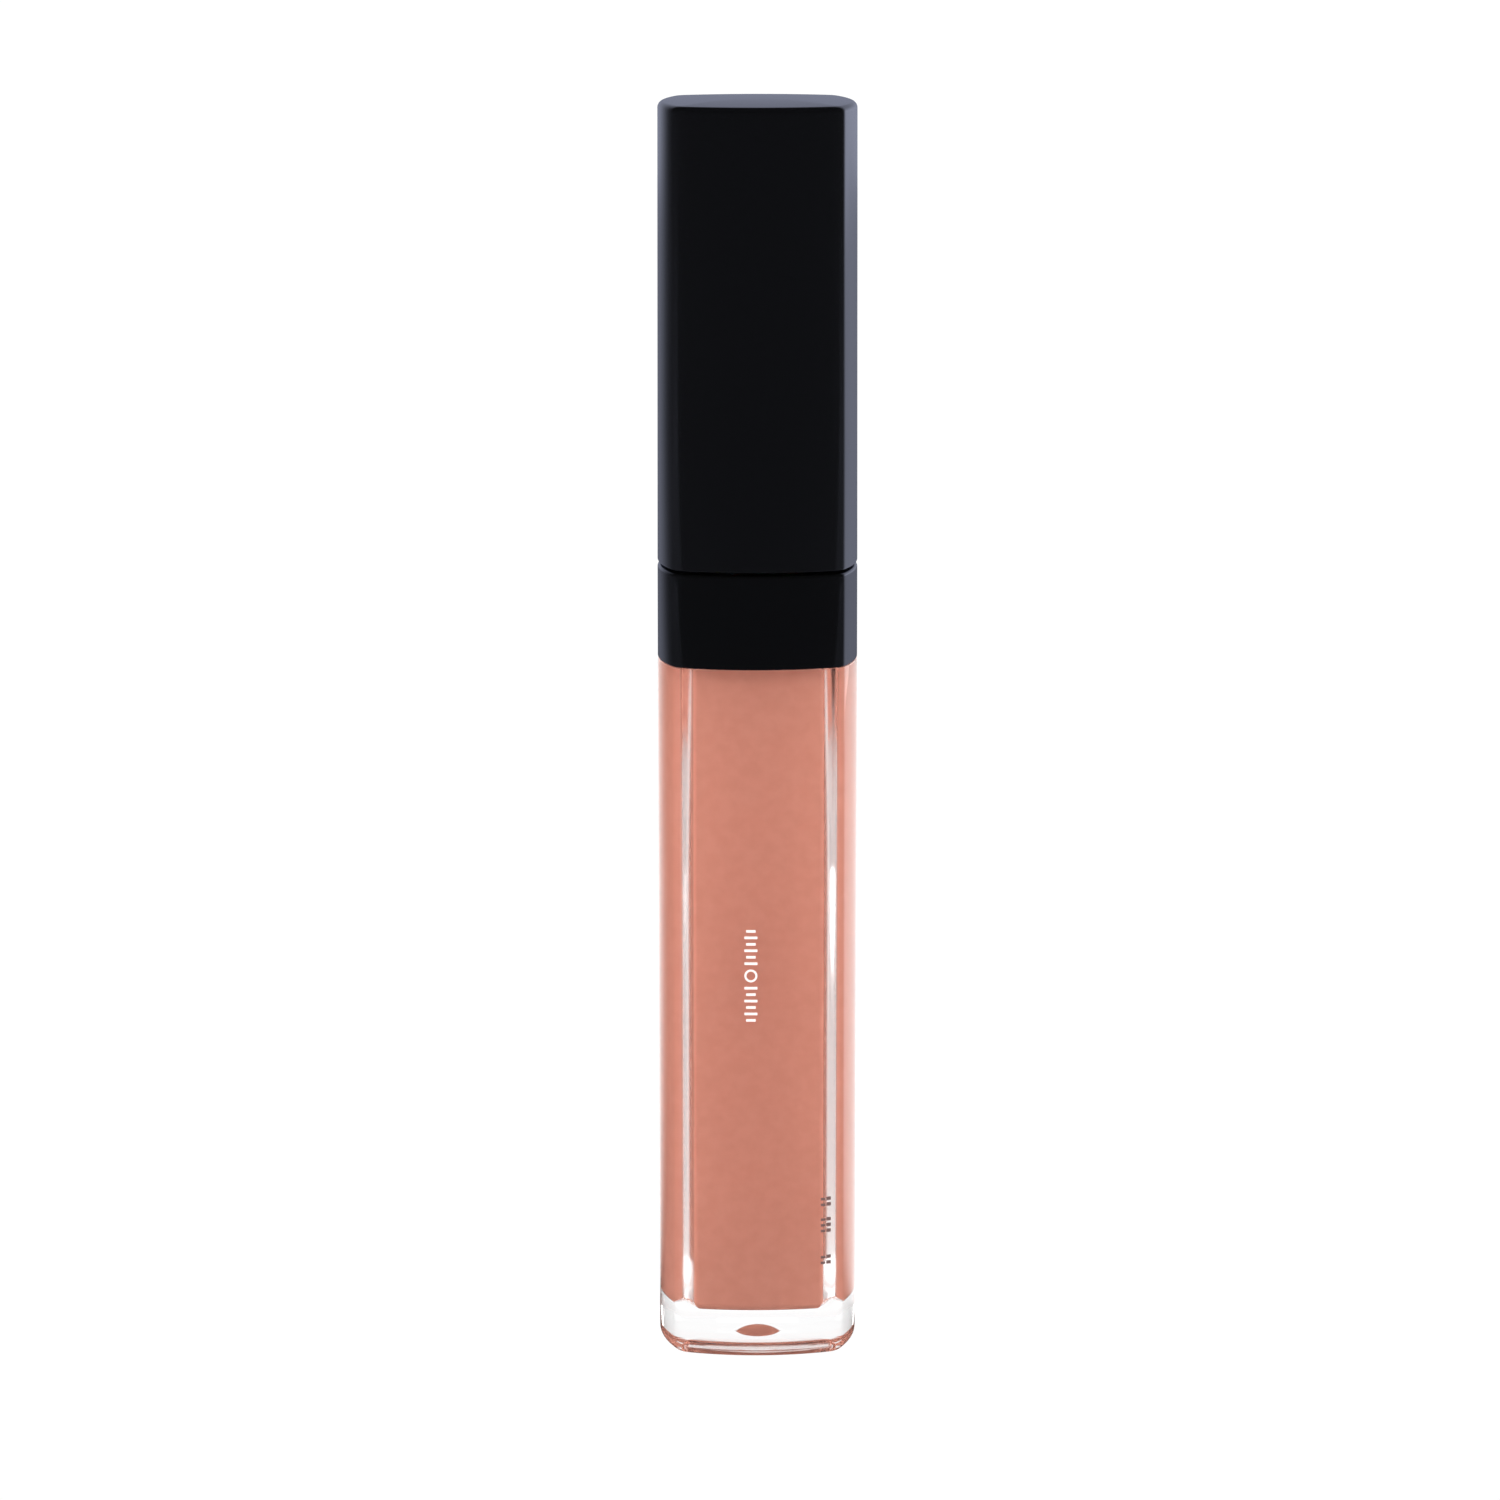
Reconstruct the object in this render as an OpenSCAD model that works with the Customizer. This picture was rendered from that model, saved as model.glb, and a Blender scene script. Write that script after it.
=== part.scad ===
// Square lip gloss tube with a screw cap and a doe-foot applicator.
// Millimetres. Z is up, the base rests on z = 0, the front faces -Y.

/* [Outline] */
// Width across the middle of two opposite faces
tube_w = 17; // [12:0.1:30]
// Bow radius of the four faces
face_r = 17; // [12:0.1:60]
// Radius of the four upright corners
corner_r = 1.9; // [0.8:0.1:3]
// Full height with the cap screwed down
tube_h = 107.1; // [90:0.1:140]

/* [Bottle] */
// Height of the shoulder under the collar
shoulder_z = 59.6; // [40:0.1:80]
// Thickness of the clear floor
floor_t = 3.6; // [1:0.1:8]
// Half width of the square cavity
cavity_a = 5.65; // [3:0.05:7]
// Corner radius of the cavity
cavity_corner = 0.4; // [0.2:0.1:2]
// Rounding of the bottom edge
base_round = 0.8; // [0.2:0.1:1.4]
// Width of the foot ring it stands on
foot_w = 0.5; // [0.3:0.1:3]
// Height of the raised panel inside the foot ring
panel_z = 1.05; // [0.2:0.05:2]
// Radius of the moulding gate recess under the base
gate_r = 1.7; // [0.5:0.1:3]
// Depth of the moulding gate recess
gate_d = 0.6; // [0.1:0.05:1]

/* [Neck] */
// Outer radius of the neck
neck_r = 5.3; // [4:0.1:6]
// Bore radius of the neck
neck_bore = 4.0; // [3:0.1:5]
// Top of the neck
neck_top = 76; // [70:0.1:90]
// Height of the snap boss that holds the collar
boss_h = 2.4; // [1:0.1:4]
// Half width of the snap boss
boss_a = 7.3; // [6:0.1:8]

/* [Thread] */
// Rise of the thread in one turn
pitch = 2.5; // [1.5:0.1:4]
// Number of turns
thread_turns = 1.5; // [1:0.25:3]
// Height of the thread ridge above the neck
thread_d = 0.55; // [0.3:0.05:1]
// Start height of the thread on the neck
thread_z = 69.6; // [65:0.1:80]
// Flat steps in one turn of the thread
thread_steps = 48; // [24:1:96]
// Pieces of the interrupted thread inside the cap
lugs = 6; // [3:1:8]

/* [Collar] */
// Top of the collar, just under the parting line
collar_top = 67.6; // [62:0.1:80]
// Thickness of the collar skirt
collar_wall = 1.15; // [0.6:0.05:2]

/* [Cap] */
// Gap at the parting line between collar and cap
seam = 0.25; // [0.1:0.05:0.6]
// Wall of the cap shell
shell_wall = 1; // [0.6:0.05:2]
// Thickness of the cap top
shell_top = 1.4; // [0.8:0.1:3]
// Rounding of the top edge of the cap
cap_round = 0.5; // [0.2:0.1:1.2]
// Outer radius of the threaded inner cap
inner_cap_r = 7.35; // [6:0.05:8]
// Underside of the inner cap ceiling
ceiling_z = 77.6; // [72:0.1:90]
// Top of the centring ribs
rib_top = 103; // [85:0.5:106]

/* [Wand] */
// Radius of the stem
stem_r = 1.7; // [1.2:0.05:2.2]
// Bottom of the stem
stem_bottom = 21; // [15:0.5:40]
// Tip of the applicator
tip_z = 9; // [6:0.5:20]
// Outer radius of the flocked applicator
flock_r = 1.95; // [1.4:0.05:2.3]
// Thickness of the flock
flock_t = 0.4; // [0.2:0.05:0.8]
// Slant of the applicator face from upright
slant = 17; // [5:1:40]
// Clear radius of the wiper lip
lip_r = 2.08; // [1.5:0.01:3]

/* [Print] */
// Middle height of the front mark
mark_z = 33.4; // [20:0.1:50]
// Distance of the front mark from the middle line
mark_x = -0.7; // [-3:0.1:3]
// Length of the front mark
mark_h = 8.6; // [4:0.1:20]
// Thickness of the printed film
film_t = 0.03; // [0.02:0.01:0.1]
// Middle height of the small print
note_z = 10.9; // [8:0.1:50]
// Distance of the small print from the middle line
note_x = 5.72; // [4.5:0.02:5.74]

/* [Hidden] */
$fn = 96;
a = tube_w / 2;
cavity_face_r = 26;
cap_z = collar_top + seam;
flange_t = 0.7;
flange_top = neck_top + flange_t;
washer_gap = 0.05;
socket_r = 2.26;
plug_r = 2.2;
socket_top = 85;
stem_bore = 1.0;
gate_ball_r = (gate_r * gate_r + gate_d * gate_d) / (2 * gate_d);

// Distance of a corner circle's centre from each middle plane
function corner_c(h, r, c) = ((h - r) + sqrt(2 * (r - c) * (r - c) - (h - r) * (h - r))) / 2;

// Angle on a face arc where the corner circle takes over
function join_a(h, r, c) = atan2(corner_c(h, r, c), corner_c(h, r, c) - (h - r));

// Sum of x and y on the line that trims a corner
function trim_s(h, r, c) = r * sin(join_a(h, r, c)) + (h - r) + r * cos(join_a(h, r, c));

// Flat outline of a square with bowed faces and round corners
module bowed(h, r, c) {
    s = trim_s(h, r, c);
    b = h + 1;
    k = corner_c(h, r, c);
    intersection() {
        translate([0, h - r]) circle(r);
        translate([0, r - h]) circle(r);
        translate([h - r, 0]) circle(r);
        translate([r - h, 0]) circle(r);
        polygon([[s - b, b], [b, s - b], [b, b - s], [s - b, -b],
                 [b - s, -b], [-b, b - s], [-b, s - b], [b - s, b]]);
    }
    for (x = [-k, k]) for (y = [-k, k]) translate([x, y]) circle(c);
}

// Outline of the tube, drawn in by a distance
module outline(inset) {
    bowed(a - inset, face_r - inset, corner_r - inset);
}

// Large disc whose lower edge is eased in three narrow bands
module eased_disc(r, h, e) {
    rotate_extrude()
        polygon([[0, -0.2 * e], [r - 1.75 * e, -0.2 * e], [r - 0.55 * e, 0.12 * e],
                 [r - 0.12 * e, 0.55 * e], [r + 0.36 * e, 2.35 * e],
                 [r + 0.36 * e, h + 1], [0, h + 1]]);
}

// Block with a bowed outline and its lower edge eased
module eased_block(w, r, c, h, e) {
    far = sqrt(2) * corner_c(w, r, c) + c;
    intersection() {
        linear_extrude(h) bowed(w, r, c);
        translate([0, w - r, 0]) eased_disc(r, h, e);
        translate([0, r - w, 0]) eased_disc(r, h, e);
        translate([w - r, 0, 0]) eased_disc(r, h, e);
        translate([r - w, 0, 0]) eased_disc(r, h, e);
        eased_disc(far, h, e);
    }
}

// The tube outline as a block, eased at its lower edge
module tube_block(h, e) {
    eased_block(a, face_r, corner_r, h, e);
}

// Inside of the bottle, drawn in by a small distance
module cavity(inset, top) {
    translate([0, 0, floor_t + inset])
        eased_block(cavity_a - inset, cavity_face_r - inset, cavity_corner - inset,
                    top - floor_t - inset, 0.7);
}

// Helical ridge of the neck thread, fading out at both ends
module ridge(base_r, crest_r, z0) {
    n = ceil(thread_turns * thread_steps);
    m = 4 * n;
    pts = [for (i = [0:n])
        let (t = 360 * i / thread_steps,
             z = z0 + pitch * i / thread_steps,
             g = max(0.05, min(1, i / 6, (n - i) / 6)),
             q = base_r + (crest_r - base_r) * g)
        each [[base_r * cos(t), base_r * sin(t), z - 0.62],
              [q * cos(t), q * sin(t), z - 0.24],
              [q * cos(t), q * sin(t), z + 0.24],
              [base_r * cos(t), base_r * sin(t), z + 0.62]]];
    sides = [for (i = [0:n - 1]) for (j = [0:3])
        let (p = 4 * i + j, q = 4 * i + (j + 1) % 4)
        each [[p, q + 4, q], [p, p + 4, q + 4]]];
    ends = [[0, 1, 2], [0, 2, 3], [m, m + 2, m + 1], [m, m + 3, m + 2]];
    polyhedron(points = pts, faces = concat(sides, ends), convexity = 6);
}

// Clear bottle: thick walls, square cavity, round threaded neck
module bottle() {
    color([0.9, 0.92, 0.94, 0.4]) {
        difference() {
            union() {
                tube_block(shoulder_z, base_round);
                translate([0, 0, shoulder_z - 1])
                    linear_extrude(boss_h + 1)
                        bowed(boss_a, face_r - 1.2, corner_r - 1.2);
                translate([0, 0, shoulder_z - 1])
                    cylinder(h = neck_top - shoulder_z + 1, r = neck_r);
                ridge(neck_r - 0.1, neck_r + thread_d, thread_z);
            }
            cavity(0, shoulder_z + 0.9);
            translate([0, 0, shoulder_z + 0.9])
                cylinder(h = 1, r1 = cavity_a - 0.1, r2 = neck_bore);
            translate([0, 0, shoulder_z])
                cylinder(h = neck_top - shoulder_z + 1, r = neck_bore);
            translate([0, 0, -1])
                linear_extrude(panel_z + 1) outline(base_round + foot_w);
            translate([0, 0, panel_z + gate_d - gate_ball_r]) gate_ball(gate_ball_r);
        }
    }
}

// Ball that leaves the shallow gate recess
module gate_ball(r) {
    rotate_extrude()
        intersection() {
            circle(r);
            translate([0, -r]) square([r, 2 * r]);
        }
}

// Coloured gloss that fills the bottle, with the way the wand takes through it
module gloss_fill() {
    color([0.78, 0.52, 0.45])
        difference() {
            cavity(0.01, shoulder_z + 0.6);
            translate([0, 0, tip_z - 1.5]) cylinder(h = shoulder_z, r = flock_r + 0.6);
        }
}

// Soft insert in the neck that wipes the wand
module wiper() {
    color([0.93, 0.93, 0.92])
        rotate_extrude()
            polygon([[3.4, flange_top], [neck_r, flange_top], [neck_r, neck_top],
                     [neck_bore - 0.02, neck_top], [neck_bore - 0.02, 66.5],
                     [lip_r + 0.5, 62.4], [lip_r, 62.4], [lip_r, 63],
                     [3.4, 66.9]]);
}

// Black collar that snaps on the shoulder of the bottle
module collar() {
    color([0.05, 0.05, 0.055])
        difference() {
            translate([0, 0, collar_top])
                mirror([0, 0, 1])
                    tube_block(collar_top - shoulder_z, 0.25);
            difference() {
                translate([0, 0, shoulder_z - 1])
                    linear_extrude(collar_top - shoulder_z - 0.2)
                        outline(collar_wall);
                translate([0, 0, shoulder_z + boss_h + 0.1])
                    cylinder(h = 10, r = neck_r + 1.3);
            }
            translate([0, 0, shoulder_z - 1]) cylinder(h = 12, r = neck_r + 0.02);
        }
}

// Outer black shell of the cap
module cap_shell() {
    color([0.04, 0.04, 0.045])
        difference() {
            translate([0, 0, tube_h])
                mirror([0, 0, 1])
                    tube_block(tube_h - cap_z, cap_round);
            translate([0, 0, cap_z - 1])
                linear_extrude(tube_h - shell_top - cap_z + 1) outline(shell_wall);
        }
}

// One short piece of the inner cap's interrupted thread
module lug(turn, z) {
    crest = neck_r + thread_d + 0.1;
    root = neck_r + 1.5;
    span = 300 / lugs;
    rotate([0, 0, turn])
        translate([0, 0, z])
            rotate([atan(pitch / (2 * PI * crest)), 0, 0])
                rotate([0, 0, -span / 2])
                    rotate_extrude(angle = span)
                        polygon([[root, -0.62], [crest, -0.24], [crest, 0.24], [root, 0.62]]);
}

// Threaded inner cap with ribs that key it into the shell
module inner_cap() {
    bottom = cap_z + 0.3;
    color([0.16, 0.16, 0.17]) {
        difference() {
            union() {
                translate([0, 0, bottom])
                    cylinder(h = ceiling_z + 1.4 - bottom, r = inner_cap_r);
                translate([0, 0, ceiling_z]) cylinder(h = socket_top + 1 - ceiling_z, r = 3.6);
                translate([0, 0, bottom])
                    linear_extrude(rib_top - bottom)
                        intersection() {
                            outline(shell_wall + 0.03);
                            for (t = [45, 135]) rotate(t) square([30, 1], center = true);
                        }
            }
            translate([0, 0, bottom - 1]) cylinder(h = ceiling_z - bottom + 1, r = neck_r + 1.2);
            translate([0, 0, ceiling_z - 1]) cylinder(h = socket_top - ceiling_z + 1, r = socket_r);
        }
        for (i = [0:lugs - 1])
            lug(360 * i / lugs, thread_z + pitch / 2 + pitch * i / lugs);
    }
}

// Foam washer between the wiper flange and the inner cap
module seal_washer() {
    color([0.85, 0.85, 0.84])
        translate([0, 0, flange_top + washer_gap])
            difference() {
                cylinder(h = ceiling_z - flange_top - 2 * washer_gap, r = neck_r + 0.3);
                translate([0, 0, -1]) cylinder(h = 4, r = 3.35);
            }
}

// Stem of the wand: head in the cap socket, bore for the applicator at its foot
module wand_stem() {
    color([0.1, 0.1, 0.11])
        difference() {
            union() {
                translate([0, 0, stem_bottom])
                    cylinder(h = flange_top + 0.2 - stem_bottom, r = stem_r);
                translate([0, 0, flange_top + washer_gap])
                    cylinder(h = ceiling_z - flange_top - 2 * washer_gap, r = 3.1);
                translate([0, 0, flange_top + washer_gap])
                    cylinder(h = socket_top - 0.3 - flange_top - washer_gap, r = plug_r);
            }
            translate([0, 0, stem_bottom - 1]) cylinder(h = 6.2, r = stem_bore);
        }
}

// Round-nosed rod whose front is cut away on a slant
module doe_foot(r, top, cut) {
    nose = tip_z + flock_r;
    difference() {
        rotate_extrude() {
            intersection() {
                translate([0, nose]) circle(r);
                translate([0, nose - r]) square([r, r]);
            }
            translate([0, nose]) square([r, top - nose]);
        }
        translate([0, -flock_r + cut, tip_z + 8.5])
            rotate([slant, 0, 0])
                translate([-5, -10, -20]) cube([10, 10, 20]);
    }
}

// Soft core of the applicator with its plug
module applicator_core() {
    color([0.75, 0.75, 0.74]) {
        doe_foot(flock_r - flock_t - 0.02, stem_bottom - 0.05, flock_t + 0.02);
        translate([0, 0, stem_bottom - 0.6]) cylinder(h = 5.5, r = stem_bore - 0.05);
    }
}

// Flock coat of the applicator
module applicator_flock() {
    color([0.86, 0.6, 0.53])
        difference() {
            doe_foot(flock_r, stem_bottom - 0.8, 0);
            doe_foot(flock_r - flock_t, stem_bottom + 1, flock_t);
        }
}

// Thin film on one face, seen from outside in the flat x-z plane
module film() {
    intersection() {
        translate([0, face_r - a, 0])
            linear_extrude(shoulder_z)
                difference() {
                    circle(face_r + film_t);
                    circle(face_r);
                }
        rotate([90, 0, 0]) linear_extrude(a + 2) children();
    }
}

// Plain printed mark: two ladders of short bars with a ring between them
module front_mark() {
    first = 0.95;
    step = (mark_h / 2 - first) / 6;
    color([0.97, 0.97, 0.97])
        film()
            translate([mark_x, mark_z]) {
                difference() {
                    circle(0.55);
                    circle(0.38);
                }
                for (m = [0, 1]) mirror([0, m])
                    for (i = [0:5])
                        translate([-0.55 + 0.15 * (i % 2), first + i * step])
                            square([1.1 - 0.3 * (i % 2), 0.22]);
            }
}

// Small print beside the right corner: plain bars in three groups
module side_print() {
    color([0.05, 0.05, 0.05])
        film()
            translate([note_x, note_z])
                for (z = [2.7, 2.2, 0.9, 0.4, -0.1, -2.4, -2.9]) for (c = [0, 1])
                    translate([c * 0.48 - 0.43, z])
                        square([0.38, c == 0 ? 0.22 : 0.3]);
}

bottle();
gloss_fill();
wiper();
collar();
front_mark();
side_print();
seal_washer();
wand_stem();
cap_shell();
inner_cap();
applicator_core();
applicator_flock();
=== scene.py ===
import math

import bpy
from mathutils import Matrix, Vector


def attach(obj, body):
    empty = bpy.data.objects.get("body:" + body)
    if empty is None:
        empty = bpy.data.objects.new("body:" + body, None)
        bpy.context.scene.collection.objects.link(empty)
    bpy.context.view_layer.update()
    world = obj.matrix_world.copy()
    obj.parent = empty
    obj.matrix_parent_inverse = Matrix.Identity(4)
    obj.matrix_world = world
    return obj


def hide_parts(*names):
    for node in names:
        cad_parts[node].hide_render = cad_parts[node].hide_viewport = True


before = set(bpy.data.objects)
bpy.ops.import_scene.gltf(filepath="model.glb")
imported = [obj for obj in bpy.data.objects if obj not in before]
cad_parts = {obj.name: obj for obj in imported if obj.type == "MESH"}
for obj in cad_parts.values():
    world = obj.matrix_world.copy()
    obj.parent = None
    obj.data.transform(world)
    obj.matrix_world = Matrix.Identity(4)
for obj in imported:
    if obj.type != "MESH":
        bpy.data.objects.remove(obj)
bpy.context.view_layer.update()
MM = 0.001

# ---------------------------------------------------------------- sizes, mm
HALF = 8.5            # tube half width, middle of a face
FACE_R = 17.0         # bow of the faces
CORNER_R = 1.9        # upright corners
TOP = 107.1
SHOULDER = 59.6
COLLAR_TOP = 67.6
CAP_Z = 67.85
FLOOR = 3.6
NECK_R = 5.3
NECK_BORE = 4.0
NECK_TOP = 76.0
FLANGE_TOP = 76.7
CEILING = 77.6
PITCH = 2.5
THREAD_Z = 69.6
THREAD_D = 0.55
THREAD_TURNS = 1.5

# ---------------------------------------------------------------- outlines
ARC = 22              # points on half a face
CRN = 14              # points round a corner


def join_angle(half, r, c):
    """Half angle of a face arc where it meets the corner round, and the round's centre."""
    e = half - r
    k = (e + math.sqrt(2 * (r - c) ** 2 - e * e)) / 2
    return math.atan2(k, k - e), k


def quarter_params():
    """Normal-angle parameter of one quarter outline, as (part, share) pairs."""
    out = [("a", i / ARC) for i in range(ARC)]
    out += [("c", i / CRN) for i in range(CRN)]
    out += [("b", i / ARC) for i in range(ARC)]
    return out


QUARTER = quarter_params()


def quarter_points(half, r, c):
    p0, k = join_angle(half, r, c)
    pts = []
    for part, u in QUARTER:
        if part == "a":
            p = p0 * u
            pts.append((r * math.sin(p), half - r + r * math.cos(p)))
        elif part == "c":
            p = p0 + (math.pi / 2 - 2 * p0) * u
            pts.append((k + c * math.sin(p), k + c * math.cos(p)))
        else:
            p = math.pi / 2 - p0 + p0 * u
            pts.append((half - r + r * math.sin(p), r * math.cos(p)))
    return pts


def spin_quarter(pts):
    """Four turned copies of a quarter outline, anticlockwise from above."""
    ring = []
    for q in range(4):
        c, s = math.cos(-q * math.pi / 2), math.sin(-q * math.pi / 2)
        ring += [(x * c - y * s, x * s + y * c) for x, y in pts]
    return ring[::-1]


def bowed(inset=0.0, half=HALF, r=FACE_R, c=CORNER_R):
    """Bowed square outline of a given half width, drawn in by inset."""
    return spin_quarter(quarter_points(half - inset, r - inset, max(c - inset, 0.02)))


P0 = join_angle(HALF, FACE_R, CORNER_R)[0]


def round_ring(radius):
    """Circle whose points sit at the same normals as those of a bowed outline."""
    pts = []
    for part, u in QUARTER:
        p = {"a": P0 * u, "c": P0 + (math.pi / 2 - 2 * P0) * u,
             "b": math.pi / 2 - P0 + P0 * u}[part]
        pts.append((radius * math.sin(p), radius * math.cos(p)))
    return spin_quarter(pts)


def fillet(radius, steps=8):
    """(inset, height) pairs from the flat foot round to the upright wall."""
    out = []
    for i in range(steps + 1):
        t = math.pi / 2 * i / steps
        out.append((radius * (1 - math.sin(t)), radius * (1 - math.cos(t))))
    return out


# ---------------------------------------------------------------- meshes
def make_mesh(name, verts, faces, smooth_deg=35.0):
    me = bpy.data.meshes.new(name)
    me.from_pydata([(x * MM, y * MM, z * MM) for x, y, z in verts], [], faces)
    me.update()
    me.polygons.foreach_set("use_smooth", [True] * len(me.polygons))
    me.set_sharp_from_angle(angle=math.radians(smooth_deg))
    ob = bpy.data.objects.new(name, me)
    bpy.context.scene.collection.objects.link(ob)
    return ob


def loft(name, rings, start=None, end=None, smooth_deg=35.0):
    """Closed skin through rings of equal count; start and end are the heights of the
    points that close it (on the z axis). rings: [(z, [(x, y), ...]), ...]; a ring's z
    may be a list with one height per point."""
    n = len(rings[0][1])
    verts, faces = [], []
    for z, ring in rings:
        zs = z if isinstance(z, (list, tuple)) else [z] * n
        verts += [(x, y, h) for (x, y), h in zip(ring, zs)]
    for k in range(len(rings) - 1):
        a, b = k * n, (k + 1) * n
        faces += [(a + i, a + (i + 1) % n, b + (i + 1) % n, b + i) for i in range(n)]
    if start is not None:
        verts.append((0, 0, start))
        c = len(verts) - 1
        faces += [(c, (i + 1) % n, i) for i in range(n)]
    if end is not None:
        verts.append((0, 0, end))
        c = len(verts) - 1
        b = (len(rings) - 1) * n
        faces += [(c, b + i, b + (i + 1) % n) for i in range(n)]
    if start is None and end is None:
        b = (len(rings) - 1) * n
        faces += [(b + i, b + (i + 1) % n, (i + 1) % n, i) for i in range(n)]
    return make_mesh(name, verts, faces, smooth_deg)


def join(name, obs):
    """One object from several meshes."""
    verts, faces = [], []
    for ob in obs:
        base = len(verts)
        verts += [tuple(v.co / MM) for v in ob.data.vertices]
        faces += [tuple(base + i for i in p.vertices) for p in ob.data.polygons]
        bpy.data.objects.remove(ob)
    return make_mesh(name, verts, faces)


# ---------------------------------------------------------------- materials
def new_material(name):
    m = bpy.data.materials.new(name)
    m.use_nodes = True
    return m, m.node_tree, m.node_tree.nodes["Principled BSDF"]


def plain(name, colour, rough, **more):
    """Even material; more holds other sockets by name, with _ for each space."""
    m, nt, b = new_material(name)
    b.inputs["Base Color"].default_value = (*colour, 1)
    b.inputs["Roughness"].default_value = rough
    for key, value in more.items():
        b.inputs[key.replace("_", " ")].default_value = value
    return m


def ramp(nt, source, start, end, low, high):
    """Colour that goes from low to high as the source goes from start to end."""
    rp = nt.nodes.new("ShaderNodeValToRGB")
    for point, position, colour in zip(rp.color_ramp.elements, (start, end), (low, high)):
        point.position = position
        point.color = (*colour, 1)
    nt.links.new(source, rp.inputs["Fac"])
    return rp.outputs["Color"]


def grain(nt, b, scale, strength, distance, low, high, detail=2.0):
    """Fine surface grain, with a base colour that wanders between two close tones."""
    tc = nt.nodes.new("ShaderNodeTexCoord")
    nz = nt.nodes.new("ShaderNodeTexNoise")
    nz.inputs["Scale"].default_value = scale
    nz.inputs["Detail"].default_value = detail
    nt.links.new(tc.outputs["Object"], nz.inputs["Vector"])
    bp = nt.nodes.new("ShaderNodeBump")
    bp.inputs["Strength"].default_value = strength
    bp.inputs["Distance"].default_value = distance
    nt.links.new(nz.outputs["Fac"], bp.inputs["Height"])
    nt.links.new(bp.outputs["Normal"], b.inputs["Normal"])
    nt.links.new(ramp(nt, nz.outputs["Fac"], 0.35, 0.65, low, high), b.inputs["Base Color"])


def mirror(nt, colour, rough):
    gl = nt.nodes.new("ShaderNodeBsdfGlossy")
    gl.inputs["Color"].default_value = (*colour, 1)
    gl.inputs["Roughness"].default_value = rough
    return gl.outputs["BSDF"]


def mix_out(nt, share, first, second, output="Material Output"):
    """Sends a mix of two shaders to the output; share is a number or a socket."""
    mix = nt.nodes.new("ShaderNodeMixShader")
    if isinstance(share, float):
        mix.inputs["Fac"].default_value = share
    else:
        nt.links.new(share, mix.inputs["Fac"])
    nt.links.new(first, mix.inputs[1])
    nt.links.new(second, mix.inputs[2])
    nt.links.new(mix.outputs["Shader"], nt.nodes[output].inputs["Surface"])


def soft_black(name, rough, base, amount):
    """Soft-touch black: a dark body under a thin bluish satin reflection."""
    m, nt, b = new_material(name)
    b.inputs["Roughness"].default_value = 0.8
    b.inputs["Specular IOR Level"].default_value = 0.0
    grain(nt, b, 9000.0, 0.05, 0.00001, base, tuple(v * 1.15 for v in base))
    mix_out(nt, amount, b.outputs["BSDF"], mirror(nt, (0.72, 0.77, 1.0), rough))
    return m


def gloss_salmon():
    """Where the gloss meets the clear wall at a glancing angle, the wall mirrors."""
    m, nt, b = new_material("gloss_salmon")
    b.inputs["Roughness"].default_value = 0.5
    b.inputs["IOR"].default_value = 1.2
    b.inputs["Specular IOR Level"].default_value = 0.3
    grain(nt, b, 900.0, 0.02, 0.00002, (0.640, 0.262, 0.190), (0.668, 0.280, 0.206))
    glance = nt.nodes.new("ShaderNodeLayerWeight")
    glance.inputs["Blend"].default_value = 0.5
    share = ramp(nt, glance.outputs["Facing"], 0.67, 0.74, (0, 0, 0), (0.94, 0.94, 0.94))
    mix_out(nt, share, b.outputs["BSDF"], mirror(nt, (0.98, 0.93, 0.92), 0.12))
    return m


def washer_foam():
    m, nt, b = new_material("washer_foam")
    b.inputs["Roughness"].default_value = 0.8
    grain(nt, b, 3500.0, 0.6, 0.00008, (0.66, 0.65, 0.62), (0.78, 0.77, 0.74))
    return m


def flock_fibre():
    m, nt, b = new_material("flock_fibre")
    b.inputs["Roughness"].default_value = 0.9
    b.inputs["Sheen Weight"].default_value = 0.6
    b.inputs["Sheen Roughness"].default_value = 0.5
    grain(nt, b, 5200.0, 0.8, 0.00012, (0.46, 0.17, 0.12), (0.74, 0.36, 0.28), detail=3.0)
    return m


CLEAR = plain("clear_petg", (0.985, 0.985, 0.988), 0.0, Transmission_Weight=1.0, IOR=1.56)
GLOSS = gloss_salmon()
CAP_BLACK = soft_black("cap_soft_black", 0.20, (0.0008, 0.0008, 0.0007), 0.155)
COLLAR_BLACK = soft_black("collar_black", 0.18, (0.0007, 0.0007, 0.0006), 0.125)
INNER = plain("inner_plastic", (0.010, 0.010, 0.011), 0.42)
STEM = plain("stem_black", (0.006, 0.006, 0.0065), 0.22)
WIPER = plain("wiper_polyethylene", (0.80, 0.79, 0.75), 0.38, Subsurface_Weight=0.35,
              Subsurface_Scale=0.0006)
FOAM = washer_foam()
CORE = plain("core_rubber", (0.55, 0.53, 0.50), 0.5)
WHITE_INK = plain("white_ink", (0.82, 0.76, 0.74), 0.5)
BLACK_INK = plain("black_ink", (0.13, 0.07, 0.065), 0.6)
FLOCK = flock_fibre()


def dress(ob, mat, body=None, node=None):
    ob.data.materials.clear()
    ob.data.materials.append(mat)
    if body:
        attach(ob, body)
    if node:
        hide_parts(node)
    return ob


# ---------------------------------------------------------------- bottle
BOTTLE_FOOT = 8.44    # half width at the foot: a little moulding draft
CAVITY = 5.65         # half width of the cavity
CAVITY_R = 26.0       # bow of its walls
CAVITY_C = 0.4        # its upright corners
CAVITY_FOOT = 0.7     # fillet round its floor
BOSS = 7.3            # half width of the snap boss under the collar
BOSS_TOP = SHOULDER + 2.4


def cavity_ring(inset, gap):
    """Cavity outline, drawn in by inset and kept clear of the true wall by gap."""
    return bowed(inset, CAVITY - gap, CAVITY_R, CAVITY_C)


def boss_ring():
    return bowed(0, BOSS, FACE_R - 1.2, CORNER_R - 1.2)


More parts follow.
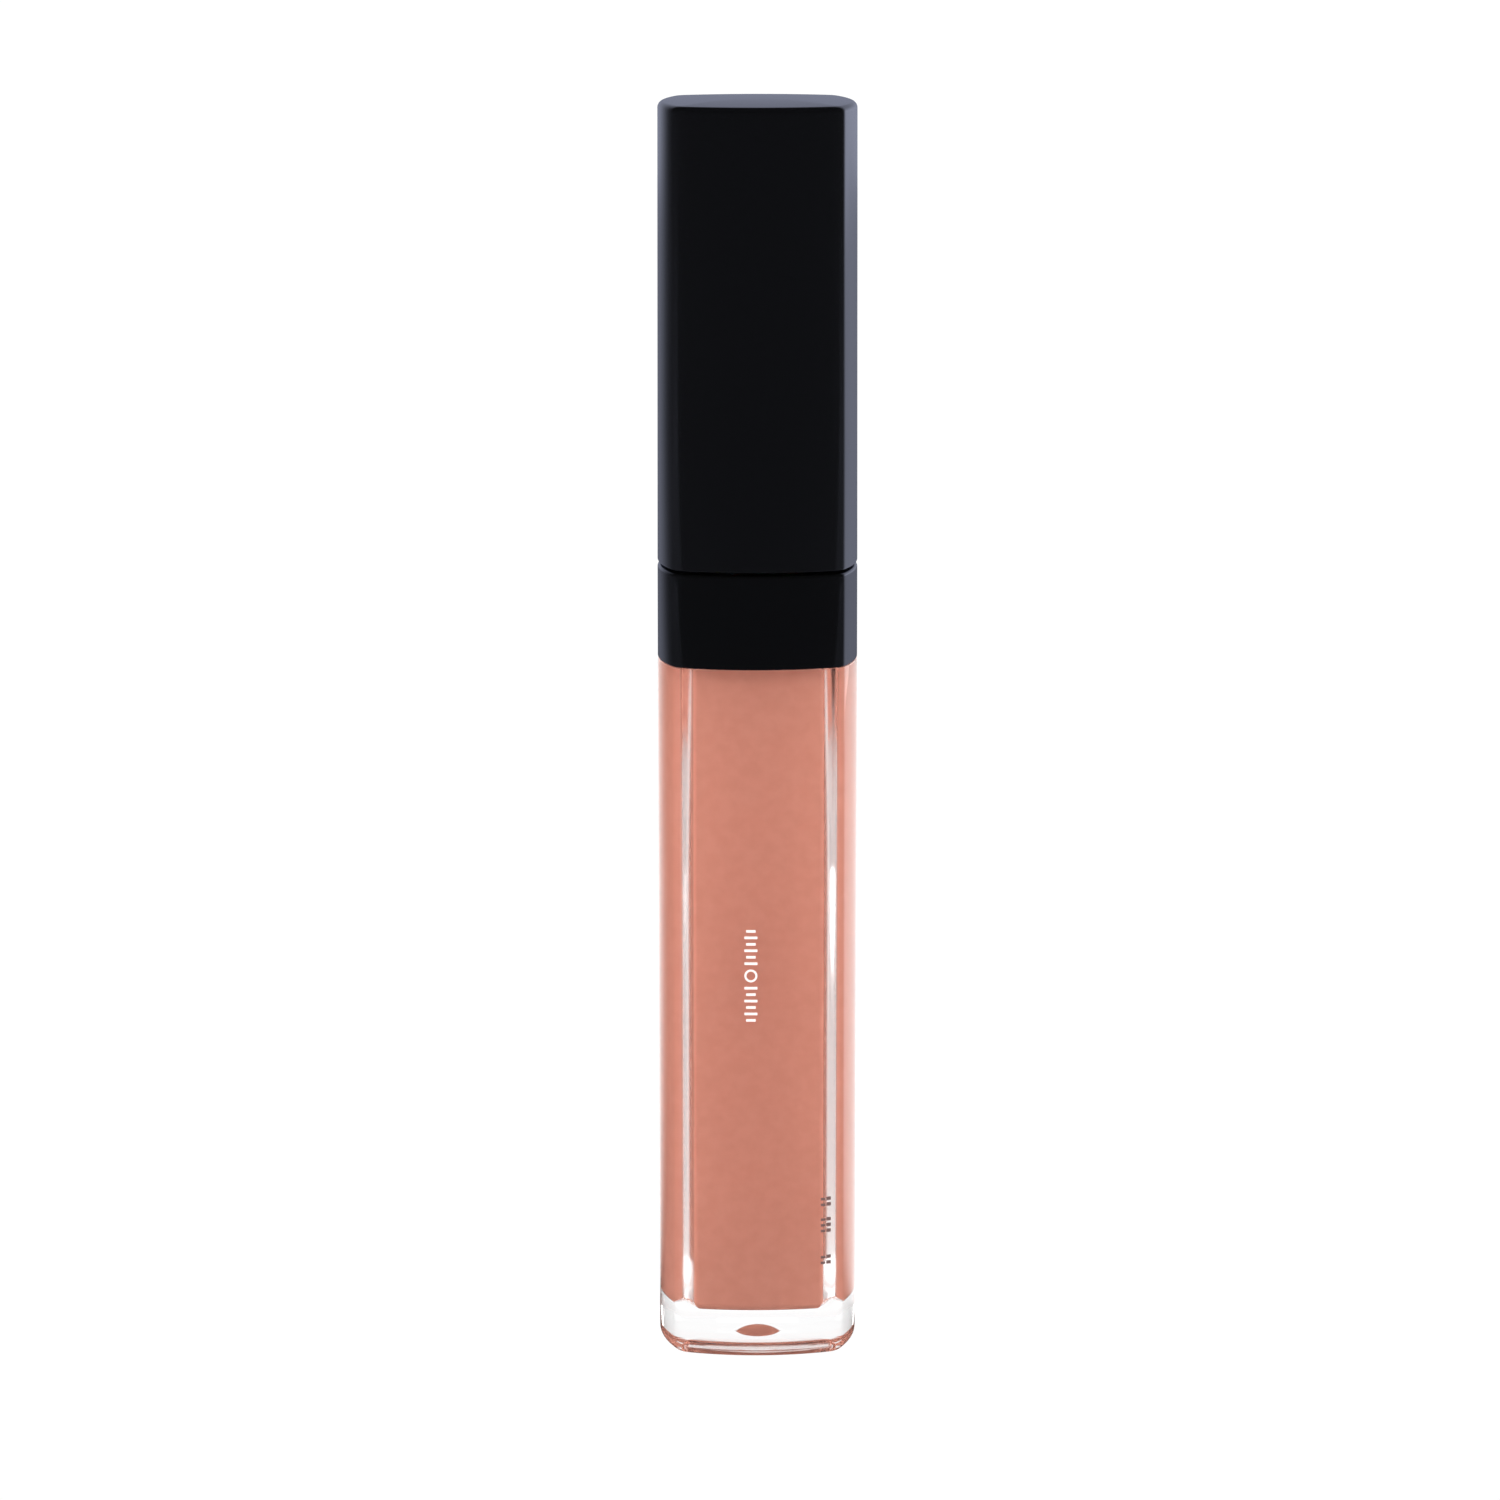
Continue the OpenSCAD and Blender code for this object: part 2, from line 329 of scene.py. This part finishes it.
def thread_rise(theta, z, z0, turns):
    """Height of a helical ridge above its cylinder, 0 to 1."""
    best = 0.0
    length = turns * 2 * math.pi
    t = theta % (2 * math.pi)
    while t <= length:
        off = abs(z - (z0 + PITCH * t / (2 * math.pi)))
        fade = min(1.0, t / 0.7, (length - t) / 0.7)
        best = max(best, fade * min(1.0, max(0.0, (0.60 - off) / 0.30)))
        t += 2 * math.pi
    return best * best * (3 - 2 * best)


def neck_rings(z_from, z_to, step):
    rings = []
    n = int(round((z_to - z_from) / step))
    unit = round_ring(1.0)
    for i in range(n + 1):
        z = z_from + (z_to - z_from) * i / n
        ring = []
        for x, y in unit:
            q = NECK_R + THREAD_D * thread_rise(math.atan2(y, x), z, THREAD_Z, THREAD_TURNS)
            ring.append((x * q, y * q))
        rings.append((z, ring))
    return rings


def bottle_half(z):
    return BOTTLE_FOOT + (HALF - BOTTLE_FOOT) * z / SHOULDER


# Underside: a rounded foot ring round a raised panel, with the gate dimple in its middle.
GATE_R, GATE_D = 1.7, 0.6
PANEL, FOOT, SOFT, HEEL = 1.05, 0.12, 0.7, 0.8
BALL = (GATE_R ** 2 + GATE_D ** 2) / (2 * GATE_D)
GLASS_GAP = 0.03      # the clear wall laps this far into the gloss
rings = []
for i in range(1, 17):
    r = GATE_R * math.sin(math.pi / 2 * i / 16)
    rings.append((PANEL + math.sqrt(BALL ** 2 - r * r) - BALL + GATE_D, round_ring(r)))
rings.append((PANEL, round_ring(GATE_R + 0.6)))
for k in range(9):
    t = math.pi / 2 * k / 8
    rings.append((PANEL * math.cos(t),
                  bowed(HEEL + FOOT + SOFT * (1 - math.sin(t)), half=BOTTLE_FOOT)))
for i, h in fillet(HEEL, 14):
    rings.append((h, bowed(i, half=bottle_half(h))))
for h in (6.0, 20.0, 40.0, SHOULDER - 0.12):
    rings.append((h, bowed(0, half=bottle_half(h))))
rings.append((SHOULDER - 0.035, bowed(0.035)))
rings.append((SHOULDER, bowed(0.12)))
rings += [(SHOULDER, boss_ring()), (BOSS_TOP, boss_ring()), (BOSS_TOP, round_ring(NECK_R))]
rings += neck_rings(68.6, 74.6, 0.12)
rings += [(NECK_TOP - 0.2, round_ring(NECK_R)), (NECK_TOP, round_ring(NECK_R - 0.2)),
          (NECK_TOP, round_ring(NECK_BORE)), (SHOULDER + 1.9, round_ring(NECK_BORE)),
          (SHOULDER + 0.9, cavity_ring(0, GLASS_GAP)),
          (FLOOR + GLASS_GAP + CAVITY_FOOT, cavity_ring(0, GLASS_GAP))]
for i, h in fillet(CAVITY_FOOT)[::-1][1:]:
    rings.append((FLOOR + GLASS_GAP + h, cavity_ring(i, GLASS_GAP)))
bottle = loft("bottle_clear", rings, start=PANEL + GATE_D, end=FLOOR + GLASS_GAP)
dress(bottle, CLEAR, "bottle_body", "bottle")

# ---------------------------------------------------------------- gloss
GLOSS_TOP = SHOULDER + 0.58
CHANNEL = 2.55
GLOSS_GAP = 0.01
rings = [(FLOOR + GLOSS_GAP + h, cavity_ring(i, GLOSS_GAP)) for i, h in fillet(CAVITY_FOOT)]
rings += [(GLOSS_TOP, cavity_ring(0, GLOSS_GAP)),
          (GLOSS_TOP, round_ring(CHANNEL + 0.2)), (GLOSS_TOP - 0.2, round_ring(CHANNEL)),
          (8.0, round_ring(CHANNEL)), (7.5, round_ring(CHANNEL - 0.5))]
gloss = loft("gloss_body", rings, start=FLOOR + GLOSS_GAP, end=7.5)
dress(gloss, GLOSS, "bottle_body", "gloss_fill")

# ---------------------------------------------------------------- wiper
LIP = 2.08
profile = [(3.4, FLANGE_TOP - 0.15), (3.55, FLANGE_TOP), (NECK_R - 0.12, FLANGE_TOP),
           (NECK_R, FLANGE_TOP - 0.12), (NECK_R, NECK_TOP + 0.02),
           (NECK_BORE - 0.04, NECK_TOP + 0.02), (NECK_BORE - 0.04, 66.5),
           (LIP + 0.5, 62.55), (LIP + 0.35, 62.4), (LIP + 0.1, 62.4), (LIP, 62.5),
           (LIP, 63.0), (3.4, 66.9)]
wiper = loft("wiper_insert", [(z, round_ring(r)) for r, z in profile[::-1]])
dress(wiper, WIPER, "bottle_body", "wiper")

# ---------------------------------------------------------------- collar
SKIRT = 1.15          # wall of the collar
rings = [(SHOULDER + 0.01, bowed(0.10)), (SHOULDER + 0.04, bowed(0.03)),
         (SHOULDER + 0.11, bowed(0.0)), (COLLAR_TOP - 0.30, bowed(0.0))]
for i, h in fillet(0.30, 6)[::-1][1:]:
    rings.append((COLLAR_TOP - h, bowed(i)))
rings += [(COLLAR_TOP, round_ring(NECK_R + 0.04)), (SHOULDER + 2.5, round_ring(NECK_R + 0.04)),
          (SHOULDER + 2.5, round_ring(NECK_R + 1.3)),
          (COLLAR_TOP - 1.2, round_ring(NECK_R + 1.3)), (COLLAR_TOP - 1.2, bowed(SKIRT)),
          (SHOULDER + 0.01, bowed(SKIRT))]
collar = loft("collar_ring", rings)
dress(collar, COLLAR_BLACK, "bottle_body", "collar")

# ---------------------------------------------------------------- cap shell
CAP_TOP_HALF = 8.42   # half width at the top: a little moulding draft
CROWN = 0.34          # rise of the top face towards its middle
EDGE_T = 0.55         # round of the top edge
WALL = 1.0


def cap_half(z):
    return HALF + (CAP_TOP_HALF - HALF) * (z - CAP_Z) / (TOP - CAP_Z)


def crown(inset):
    return TOP - CROWN * (1 - inset / CAP_TOP_HALF) ** 2


inner_top = TOP - 1.4
rings = [(inner_top, bowed(6.2)), (inner_top, bowed(WALL)), (CAP_Z, bowed(WALL)),
         (CAP_Z, bowed(0.14)), (CAP_Z + 0.04, bowed(0.04)), (CAP_Z + 0.14, bowed(0.0))]
for h in (80.0, 94.0):
    rings.append((h, bowed(0, half=cap_half(h))))
rim = crown(EDGE_T)
for i, h in fillet(EDGE_T, 10)[::-1]:
    rings.append((rim - h, bowed(i, half=CAP_TOP_HALF)))
for i in (1.2, 2.2, 3.4, 4.6, 5.6, 6.2):
    rings.append((crown(i), bowed(i, half=CAP_TOP_HALF)))
shell = loft("cap_shell_skin", rings, start=inner_top, end=TOP)
dress(shell, CAP_BLACK, "cap_body", "cap_shell")

# ---------------------------------------------------------------- inner cap
LUGS = 6
ROOT = NECK_R + 1.2
CREST = NECK_R + THREAD_D + 0.1


def lug_rise(theta, z):
    best = 0.0
    half = math.radians(300 / LUGS / 2)
    for i in range(LUGS):
        mid = 2 * math.pi * i / LUGS
        d = (theta - mid + math.pi) % (2 * math.pi) - math.pi
        if abs(d) < half:
            zc = THREAD_Z + PITCH / 2 + PITCH * i / LUGS + PITCH * d / (2 * math.pi)
            fade = min(1.0, (half - abs(d)) / 0.06)
            best = max(best, fade * min(1.0, max(0.0, (0.60 - abs(z - zc)) / 0.34)))
    return best


cup_z = CAP_Z + 0.3
CUP_R, SOCKET_R, SOCKET_BORE, SOCKET_TOP = 7.35, 3.6, 2.26, 86.0
unit = round_ring(1.0)
rings = [(cup_z, round_ring(CUP_R)), (CEILING + 1.4, round_ring(CUP_R)),
         (CEILING + 1.4, round_ring(SOCKET_R)), (SOCKET_TOP, round_ring(SOCKET_R)),
         (SOCKET_TOP, round_ring(0.5))]
bore = [(SOCKET_TOP - 1, round_ring(0.5)), (SOCKET_TOP - 1, round_ring(SOCKET_BORE)),
        (CEILING, round_ring(SOCKET_BORE)), (CEILING, round_ring(ROOT))]
for i in range(60):
    z = 75.6 - i * 0.12
    ring = []
    for x, y in unit:
        q = ROOT - (ROOT - CREST) * lug_rise(math.atan2(y, x), z)
        ring.append((x * q, y * q))
    bore.append((z, ring))
bore.append((cup_z, round_ring(ROOT)))
rings = bore + rings
cup = loft("cup", rings, start=SOCKET_TOP - 1, end=SOCKET_TOP)
RIB_REACH = 9.25      # from the axis towards a corner of the shell
ribs = []
for t in (45, 135, 225, 315):
    c, s = math.cos(math.radians(t)), math.sin(math.radians(t))
    for z0, z1, r0 in ((cup_z, 79.0, 7.3), (79.0, 103.0, 0.0)):
        box = []
        for z in (z0, z1):
            for u, v in ((r0, -0.5), (RIB_REACH, -0.5), (RIB_REACH, 0.5), (r0, 0.5)):
                box.append((u * c - v * s, u * s + v * c, z))
        ribs.append(make_mesh("rib", box, [(3, 2, 1, 0), (4, 5, 6, 7), (0, 1, 5, 4),
                                           (1, 2, 6, 5), (2, 3, 7, 6), (3, 0, 4, 7)]))
dress(join("inner_cap_core", [cup] + ribs), INNER, "cap_body", "inner_cap")

# ---------------------------------------------------------------- washer
w0, w1 = FLANGE_TOP + 0.05, CEILING - 0.05
profile = [(3.35, w0 + 0.06), (3.35, w1 - 0.06), (3.41, w1), (5.54, w1), (5.6, w1 - 0.06),
           (5.6, w0 + 0.06), (5.54, w0), (3.41, w0)]
washer = loft("washer_foam_ring", [(z, round_ring(r)) for r, z in profile[::-1]])
dress(washer, FOAM, "washer_body", "seal_washer")

# ---------------------------------------------------------------- wand
STEM_R, STEM_Z = 1.7, 21.0
profile = [(0.3, STEM_Z + 5.2), (1.0, STEM_Z + 5.2), (1.0, STEM_Z), (STEM_R - 0.15, STEM_Z),
           (STEM_R - 0.04, STEM_Z + 0.04), (STEM_R, STEM_Z + 0.15), (STEM_R, w0),
           (2.95, w0), (3.1, w0 + 0.12), (3.1, w1 - 0.02), (2.2, w1 - 0.02), (2.2, 84.5),
           (2.0, 84.7)]
stem = loft("wand_rod", [(z, round_ring(r)) for r, z in profile], start=STEM_Z + 5.2, end=84.7)
dress(stem, STEM, "stem_body", "wand_stem")

TIP_Z, FLOCK_R, FLOCK_T, SLANT = 9.0, 1.95, 0.4, math.radians(17)


def doe_rings(r, z_top, cut, rows):
    """Round-nosed rod with a slanted flat on its front, as rings from the nose up."""
    nose = TIP_Z + FLOCK_R
    out = []
    zs = [nose - r * math.cos(math.pi / 2 * i / 12) for i in range(1, 13)]
    zs += [nose + (z_top - nose) * i / rows for i in range(1, rows + 1)]
    for z in zs:
        q = math.sqrt(max(r * r - (z - nose) ** 2, 0)) if z < nose else r
        plane = -FLOCK_R + cut + (TIP_Z + 8.5 - z) * math.tan(SLANT)
        ring = []
        for x, y in round_ring(q):
            ring.append((x, max(y, min(plane, q * 0.92))))
        out.append((z, ring))
    return out


rings = doe_rings(FLOCK_R - 0.02, STEM_Z - 1.0, 0.02, 30)
rings += [(STEM_Z - 0.86, round_ring(FLOCK_R - 0.12)), (STEM_Z - 0.8, round_ring(FLOCK_R - 0.3)),
          (STEM_Z - 0.8, round_ring(1.56))]
flock = loft("flock_tip", rings, start=TIP_Z + 0.02, end=STEM_Z - 0.8, smooth_deg=60)
dress(flock, FLOCK, "cap_body", "applicator_flock")

# ---------------------------------------------------------------- CAD pieces that show as they are
for name, mat in (("front_mark", WHITE_INK), ("side_print", BLACK_INK),
                  ("applicator_core", CORE)):
    dress(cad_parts[name], mat)

# ---------------------------------------------------------------- stage
scene = bpy.context.scene
scene.view_settings.view_transform = "Standard"
scene.cycles.max_bounces = 24
scene.cycles.transmission_bounces = 20
scene.cycles.glossy_bounces = 12


# The background and floor always read white. What they send into the object depends on the
# side they lie on: white behind and dim in front, and for reflections white in a narrower
# sector behind, brighter overhead, and dark elsewhere.
def sector(nt, vector, axis, start, end, low, high):
    """Brightness by direction: from low to high as the direction turns to the axis."""
    along = nt.nodes.new("ShaderNodeVectorMath")
    along.operation = "DOT_PRODUCT"
    along.inputs[1].default_value = axis
    mr = nt.nodes.new("ShaderNodeMapRange")
    mr.interpolation_type = "SMOOTHSTEP"
    mr.inputs["From Min"].default_value = start
    mr.inputs["From Max"].default_value = end
    mr.inputs["To Min"].default_value = low
    mr.inputs["To Max"].default_value = high
    nt.links.new(vector, along.inputs[0])
    nt.links.new(along.outputs["Value"], mr.inputs["Value"])
    return mr.outputs["Result"]


def combine(nt, operation, first, second):
    """Difference or product of two values; a difference is kept between 0 and 1."""
    node = nt.nodes.new("ShaderNodeMath")
    node.operation = operation
    node.use_clamp = operation == "SUBTRACT"
    nt.links.new(first, node.inputs[0])
    nt.links.new(second, node.inputs[1])
    return node.outputs["Value"]


def surround(nt, vector, level, overhead):
    """Brightness seen by any ray but the camera's, and the camera ray flag."""
    lp = nt.nodes.new("ShaderNodeLightPath")
    # A ray refracted through the clear wall counts as glossy too, so it is taken out.
    reflected = combine(nt, "SUBTRACT", lp.outputs["Is Glossy Ray"],
                        lp.outputs["Is Transmission Ray"])
    soft = sector(nt, vector, (0, 1, 0), -0.75, -0.15, 0.66 * level, 1.06 * level)
    mirrored = sector(nt, vector, (0.24, 1, 0), 0.60, 0.96, 0.010, 1.12 * level)
    lift = sector(nt, vector, (0, 0, -1), -0.36, 0.0, 0.85, overhead)
    mx = nt.nodes.new("ShaderNodeMix")
    mx.data_type = "FLOAT"
    nt.links.new(reflected, mx.inputs["Factor"])
    nt.links.new(soft, mx.inputs["A"])
    nt.links.new(combine(nt, "MULTIPLY", mirrored, lift), mx.inputs["B"])
    return mx.outputs["Result"], lp.outputs["Is Camera Ray"]


def pale_floor():
    m, nt, b = new_material("pale_floor")
    # The white comes from its glow, so that the lamps leave no patch for the black to mirror.
    b.inputs["Base Color"].default_value = (0.03, 0.03, 0.03, 1)
    b.inputs["Roughness"].default_value = 0.9
    b.inputs["Specular IOR Level"].default_value = 0.0
    b.inputs["Emission Color"].default_value = (1, 1, 1, 1)
    place = nt.nodes.new("ShaderNodeTexCoord")
    away = nt.nodes.new("ShaderNodeVectorMath")
    away.operation = "NORMALIZE"
    nt.links.new(place.outputs["Object"], away.inputs[0])
    glow, is_camera = surround(nt, away.outputs["Vector"], 0.98, 1.0)
    nt.links.new(glow, b.inputs["Emission Strength"])
    shown = nt.nodes.new("ShaderNodeEmission")
    shown.inputs["Strength"].default_value = 1.02
    mix_out(nt, is_camera, b.outputs["BSDF"], shown.outputs["Emission"])
    return m


def floor_plane():
    z, side, front, back = -0.0001, 0.8, -0.065, 1.2
    me = bpy.data.meshes.new("floor")
    me.from_pydata([(-side, front, z), (side, front, z), (side, back, z), (-side, back, z)],
                   [], [(0, 1, 2, 3)])
    me.materials.append(pale_floor())
    ob = bpy.data.objects.new("floor", me)
    scene.collection.objects.link(ob)
    return ob


def studio_world():
    world = bpy.data.worlds.new("studio")
    world.use_nodes = True
    nt = world.node_tree
    lit = nt.nodes["Background"]
    lit.inputs["Color"].default_value = (1, 1, 1, 1)
    place = nt.nodes.new("ShaderNodeTexCoord")
    glow, is_camera = surround(nt, place.outputs["Generated"], 1.0, 1.9)
    nt.links.new(glow, lit.inputs["Strength"])
    white = nt.nodes.new("ShaderNodeBackground")
    white.inputs["Color"].default_value = (1, 1, 1, 1)
    white.inputs["Strength"].default_value = 1.05
    mix_out(nt, is_camera, lit.outputs["Background"], white.outputs["Background"],
            "World Output")
    return world


LAMP_TARGET = Vector((0, 0, 0.05))


def area(name, loc, size, power):
    """Soft lamp turned to the tube; reflections do not show it."""
    data = bpy.data.lights.new(name, "AREA")
    data.shape = "RECTANGLE"
    data.size, data.size_y = size
    data.energy = power
    ob = bpy.data.objects.new(name, data)
    ob.location = loc
    ob.rotation_euler = (LAMP_TARGET - Vector(loc)).to_track_quat("-Z", "Y").to_euler()
    ob.visible_glossy = False
    scene.collection.objects.link(ob)


floor_plane()
scene.world = studio_world()
area("soft_left", (-0.66, -0.14, 0.16), (0.7, 0.6), 8.0)
area("soft_right", (0.66, -0.14, 0.16), (0.7, 0.6), 8.0)
area("soft_front", (0.0, -0.90, 0.10), (0.8, 0.5), 1.6)

# ---------------------------------------------------------------- camera
AZ = math.radians(-1.0)
DIST, CAM_Z, PITCH_DEG = 0.540, 0.1456, 9.90
LENS_MM, SENSOR_MM, SHIFT_X = 153.72, 36.0, -0.0049333333
cam_data = bpy.data.cameras.new("photo_camera")
cam = bpy.data.objects.new("photo_camera", cam_data)
scene.collection.objects.link(cam)
scene.camera = cam
cam.location = (DIST * math.sin(AZ), -DIST * math.cos(AZ), CAM_Z)
cam.rotation_euler = (math.radians(90 - PITCH_DEG), 0, AZ)
cam_data.sensor_width = SENSOR_MM
cam_data.lens = LENS_MM
cam_data.shift_x = SHIFT_X
cam_data.clip_start = 0.01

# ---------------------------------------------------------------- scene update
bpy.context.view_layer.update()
